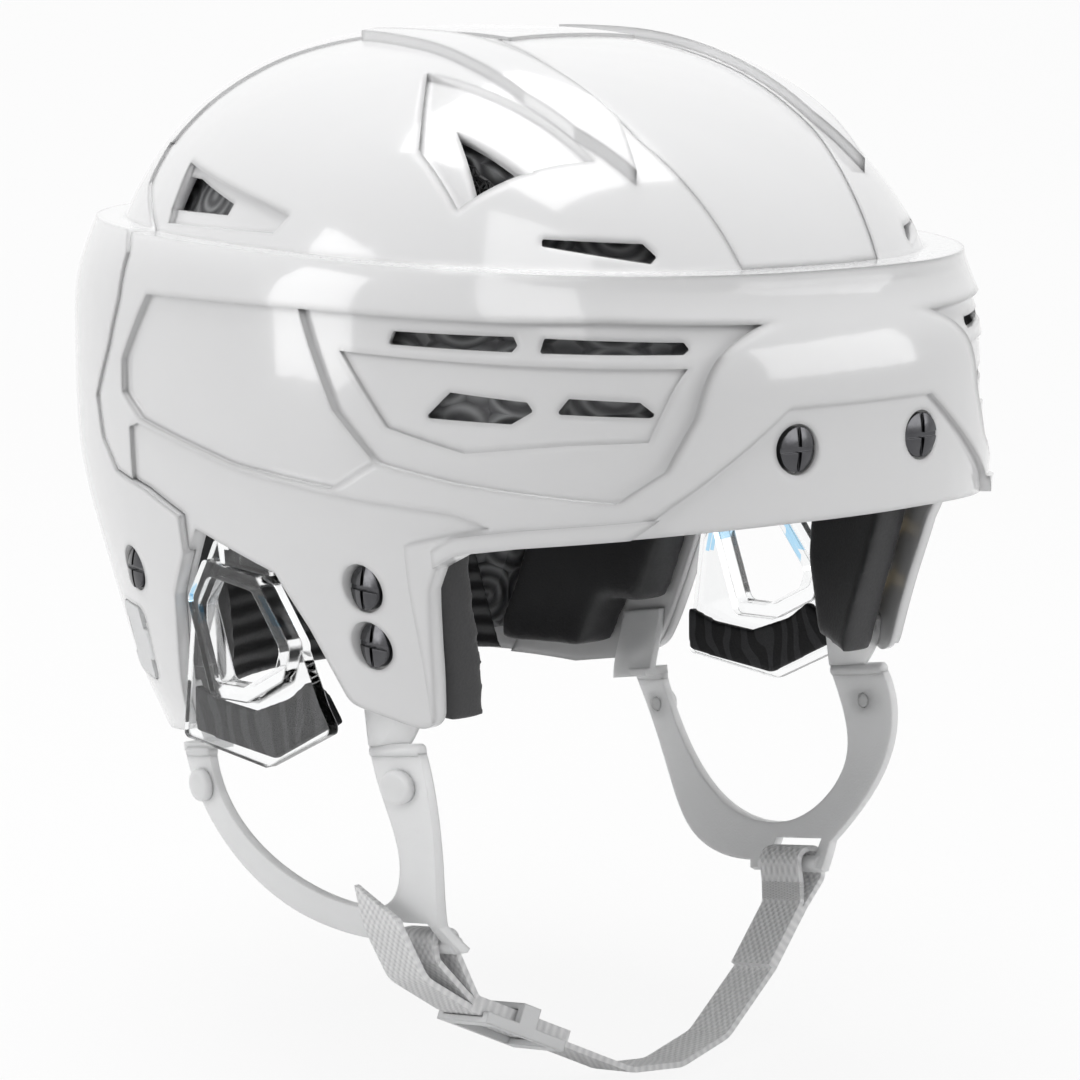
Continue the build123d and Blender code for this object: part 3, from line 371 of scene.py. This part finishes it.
def new_piece(name, mesh, look, node):
    """A dressed piece that stands for one CAD node."""
    piece = linked(name, mesh)
    dress(piece, look)
    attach(piece, body_of(node))
    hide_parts(node)
    return piece


def remeshed(name, node, voxel, *steps):
    """A CAD node's mesh in even voxels, taken through further modifier steps."""
    copy = linked("remesh_source", nodes[node].data.copy())
    steps = (("REMESH", {"mode": "VOXEL", "voxel_size": voxel}),) + steps
    for kind, settings in steps:
        step = copy.modifiers.new(kind.lower(), kind)
        for key, value in settings.items():
            setattr(step, key, value)
    graph = bpy.context.evaluated_depsgraph_get()
    mesh = bpy.data.meshes.new_from_object(copy.evaluated_get(graph))
    bpy.data.objects.remove(copy)
    mesh.name = name
    return mesh


def softened(node, voxel, rounds, look, stretch=1.0):
    """A cushion from a CAD solid: evenly remeshed, crowned, and stretched down where asked."""
    name = "soft_" + node
    mesh = remeshed(name, node, voxel, ("SMOOTH", {"factor": 0.5, "iterations": rounds}))
    mesh.shade_smooth()
    top = max(v.co.z for v in mesh.vertices)
    for vertex in mesh.vertices:
        vertex.co.z = top + (vertex.co.z - top) * stretch
    piece = new_piece(name, mesh, look, node)


for side in SIDES:
    softened("temple_pad_" + side, voxel=0.0010, rounds=44, look=PAD)
    softened("side_pad_" + side, voxel=0.0012, rounds=30, look=PAD)
    softened("ear_pad_" + side, voxel=0.0008, rounds=6, look=EAR_PAD)
softened("brow_pad", voxel=0.0012, rounds=30, look=PAD)
softened("crown_pad", voxel=0.0014, rounds=14, look=PAD)
softened("nape_pad", voxel=0.0014, rounds=24, look=RIBBED, stretch=1.12)

STRUT_LENGTH, STRUT_WIDTH = 0.0034, 0.0009


def lattice(node):
    """Open lattice of thin triangular struts in the space of a CAD pad."""
    name = "struts_" + node
    triangles = ("TRIANGULATE", {"quad_method": "FIXED"})
    struts = ("WIREFRAME", {"thickness": STRUT_WIDTH, "use_even_offset": False})
    mesh = remeshed(name, node, STRUT_LENGTH, triangles, struts)
    new_piece(name, mesh, LATTICE, node)


for side in SIDES:
    lattice("crown_lattice_" + side)


HARNESS_TILT = math.radians(11)
HINGE_SPAN, HINGE_Y, HINGE_Z = 83.4 * MM, -36 * MM, -50.6 * MM
HINGE_ROLLS = {"front": (-10.4, 11.0), "rear": (85.3, 97.2)}
ROLL_RADIUS, ROLL_END = 1.9 * MM, 0.7 * MM
ROLL_SIDES = 20


def hinge_roll(side, place):
    """Rounded roll at the top of a yoke leg, on its hinge line."""
    start, end = (value * MM for value in HINGE_ROLLS[place])
    rings = [(start, ROLL_RADIUS - ROLL_END), (start + ROLL_END, ROLL_RADIUS)]
    rings += [(end - ROLL_END, ROLL_RADIUS), (end, ROLL_RADIUS - ROLL_END)]
    x_side = HINGE_SPAN if side == "left" else -HINGE_SPAN
    verts = []
    for along, radius in rings:
        for k in range(ROLL_SIDES):
            angle = 2 * math.pi * k / ROLL_SIDES
            out, up = radius * math.cos(angle), radius * math.sin(angle)
            y = HINGE_Y + along * math.cos(HARNESS_TILT) + up * math.sin(HARNESS_TILT)
            z = HINGE_Z - along * math.sin(HARNESS_TILT) + up * math.cos(HARNESS_TILT)
            verts.append((x_side + out, y, z))
    faces = []
    for first in range(0, len(verts) - ROLL_SIDES, ROLL_SIDES):
        for k in range(ROLL_SIDES):
            near, far = first + k, first + (k + 1) % ROLL_SIDES
            faces.append((near, near + ROLL_SIDES, far + ROLL_SIDES, far))
    faces.append(tuple(range(ROLL_SIDES)))
    faces.append(tuple(reversed(range(len(verts) - ROLL_SIDES, len(verts)))))
    name = "hinge_roll_" + place + "_" + side
    mesh = bpy.data.meshes.new(name)
    mesh.from_pydata(verts, [], faces)
    mesh.shade_smooth()
    roll = linked(name, mesh)
    dress(roll, MILKY)
    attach(roll, body_of("chin_yoke_" + side))


for side in SIDES:
    for place in HINGE_ROLLS:
        hinge_roll(side, place)


# The webbing's course in the harness frame, in millimetres: to the side, and up from the hinges.
STRAP_ROUTE = [
    (-82.1, -34.6), (-80.8, -46.6), (-74.5, -61.8), (-59.9, -72.5), (-29.9, -87.8),
    (-8.0, -99.1), (10.0, -101.1), (27.9, -96.4), (47.9, -81.1), (62.5, -65.8),
    (70.9, -56.0), (66.5, -49.6), (62.1, -56.0),
]


def weave_map(piece):
    """Surface map in metres: across the webbing, and along its route in the harness frame."""
    mesh = piece.data
    chart = mesh.uv_layers.new(name="weave")
    coords = np.array([v.co for v in mesh.vertices])
    back, above = coords[:, 1] - HINGE_Y, coords[:, 2] - HINGE_Z
    across = back * math.cos(HARNESS_TILT) - above * math.sin(HARNESS_TILT)
    up = back * math.sin(HARNESS_TILT) + above * math.cos(HARNESS_TILT)
    places = np.stack([coords[:, 0], up], axis=1)
    route = np.array(STRAP_ROUTE) * MM
    best = np.full(len(places), np.inf)
    along = np.zeros(len(places))
    walked = 0.0
    for start, end in zip(route[:-1], route[1:]):
        run = end - start
        length = np.linalg.norm(run)
        share = np.clip((places - start) @ run / length ** 2, 0, 1)
        away = np.linalg.norm(places - start - share[:, None] * run, axis=1)
        closer = away < best
        best[closer] = away[closer]
        along[closer] = walked + share[closer] * length
        walked += length
    for loop in mesh.loops:
        chart.data[loop.index].uv = (across[loop.vertex_index], along[loop.vertex_index])


strap_mesh = nodes["chin_strap"].data.copy()
strap = new_piece("woven_strap", strap_mesh, WEBBING, "chin_strap")
weave_map(strap)


# Studio: camera fitted to the photograph, floor, lamps and world.

VIEW_AZIMUTH = 0.694599135
VIEW_TILT = 0.178559959
VIEW_ROLL = 0.0123509311
VIEW_DISTANCE = 1.00193600
AIM_RIGHT, AIM_UP = -0.00515321821, -0.00942040240
LENS, SENSOR_WIDTH = 120, 36
CLIP_START, CLIP_END = 0.05, 20
FLOOR_DROP, FLOOR_REACH = 0.0005, 8.0
BACKDROP_DEPTH, BACKDROP_HEIGHT = 1.6, 2.6
SWEEP_RADIUS, SWEEP_STEPS = 0.6, 12
BACKGROUND_SHARE = 0.9
LAMP_AIM = (0, 0.02, 0)
LAMPS = {
    "key": {"spot": (-1.1, -0.5, 1.2), "size": (0.9, 0.9), "power": 5.5},
    "fill": {"spot": (0.9, -1.3, 0.5), "size": (1.2, 0.8), "power": 7.0},
    "top": {"spot": (0.0, 0.3, 1.7), "size": (1.4, 1.4), "power": 24.0},
    "side": {"spot": (-1.3, 0.9, 0.3), "size": (0.5, 1.1), "power": 5.5},
}
WORLD_LIGHT = 0.28


def place_camera():
    sin_a, cos_a = math.sin(VIEW_AZIMUTH), math.cos(VIEW_AZIMUTH)
    level = math.cos(VIEW_TILT)
    forward = Vector((sin_a * level, cos_a * level, -math.sin(VIEW_TILT)))
    right = Vector((cos_a, -sin_a, 0))
    up = right.cross(forward)
    turned_right = right * math.cos(VIEW_ROLL) + up * math.sin(VIEW_ROLL)
    turned_up = up * math.cos(VIEW_ROLL) - right * math.sin(VIEW_ROLL)
    target = right * AIM_RIGHT + Vector((0, 0, AIM_UP))
    data = bpy.data.cameras.new("camera")
    data.lens = LENS
    data.sensor_width = SENSOR_WIDTH
    data.clip_start = CLIP_START
    data.clip_end = CLIP_END
    camera = linked("camera", data)
    axes = Matrix((turned_right, turned_up, -forward)).transposed().to_4x4()
    camera.matrix_world = Matrix.Translation(target - forward * VIEW_DISTANCE) @ axes
    bpy.context.scene.camera = camera


def background_rays(tree):
    """1 for what the camera, a reflection or a clear piece sees directly."""
    seen = add(tree, "ShaderNodeLightPath").outputs
    through = compute(tree, "MAXIMUM", seen["Is Glossy Ray"], seen["Is Transmission Ray"])
    return compute(tree, "MAXIMUM", seen["Is Camera Ray"], through)


def floor_material():
    """White floor that keeps the shadow and shows as a pale background."""
    mat, tree, shader = material("studio_white")
    place = coordinates(tree)
    slow = noise(tree, place, scale=3.0)
    feed(shader, {
        "Base Color": blend_colors(tree, slow, (0.74, 0.74, 0.74), (0.78, 0.78, 0.78)),
        "Roughness": spread(tree, noise(tree, place, scale=60.0), 0.8, 0.9),
    })
    glow = add(tree, "ShaderNodeEmission", {"Color": (1, 1, 1, 1), "Strength": 1.0})
    share = compute(tree, "MULTIPLY", background_rays(tree), BACKGROUND_SHARE)
    both = {0: share, 1: shader.outputs["BSDF"], 2: glow.outputs["Emission"]}
    mixed = add(tree, "ShaderNodeMixShader", both)
    output = next(n for n in tree.nodes if n.type == "OUTPUT_MATERIAL")
    feed(output, {"Surface": mixed.outputs["Shader"]})
    return mat


def stage():
    """Floor that sweeps up into a backdrop, square to the camera's heading."""
    floor_z = cad_box[0][2] - FLOOR_DROP
    profile = [(-FLOOR_REACH, 0.0)]
    for k in range(SWEEP_STEPS + 1):
        angle = math.pi / 2 * k / SWEEP_STEPS
        along = BACKDROP_DEPTH - SWEEP_RADIUS + SWEEP_RADIUS * math.sin(angle)
        profile.append((along, SWEEP_RADIUS - SWEEP_RADIUS * math.cos(angle)))
    profile.append((BACKDROP_DEPTH, BACKDROP_HEIGHT))
    heading = Vector((math.sin(VIEW_AZIMUTH), math.cos(VIEW_AZIMUTH), 0))
    across = Vector((math.cos(VIEW_AZIMUTH), -math.sin(VIEW_AZIMUTH), 0))
    verts = []
    for along, up in profile:
        for side in (-1, 1):
            point = heading * along + across * side * FLOOR_REACH
            verts.append((point.x, point.y, floor_z + up))
    faces = [(2 * k, 2 * k + 1, 2 * k + 3, 2 * k + 2) for k in range(len(profile) - 1)]
    mesh = bpy.data.meshes.new("studio_floor")
    mesh.from_pydata(verts, [], faces)
    mesh.shade_smooth()
    floor = linked("studio_floor", mesh)
    dress(floor, floor_material())


def area_light(name, spot, size, power):
    data = bpy.data.lights.new(name, "AREA")
    data.shape = "RECTANGLE"
    data.size, data.size_y = size
    data.energy = power
    lamp = linked(name, data)
    lamp.location = spot
    toward = Vector(LAMP_AIM) - Vector(spot)
    lamp.rotation_euler = toward.to_track_quat("-Z", "Y").to_euler()


def light():
    for name, lamp in LAMPS.items():
        area_light(name, **lamp)
    world = bpy.data.worlds.new("studio")
    bpy.context.scene.world = world
    world.use_nodes = True
    tree = world.node_tree
    background = next(n for n in tree.nodes if n.type == "BACKGROUND")
    seen = background_rays(tree)
    strength = spread(tree, seen, WORLD_LIGHT, 1.0, from_low=0.0, from_high=1.0)
    feed(background, {"Color": (1, 1, 1, 1), "Strength": strength})


place_camera()
stage()
light()
bpy.context.scene.view_settings.view_transform = "Standard"
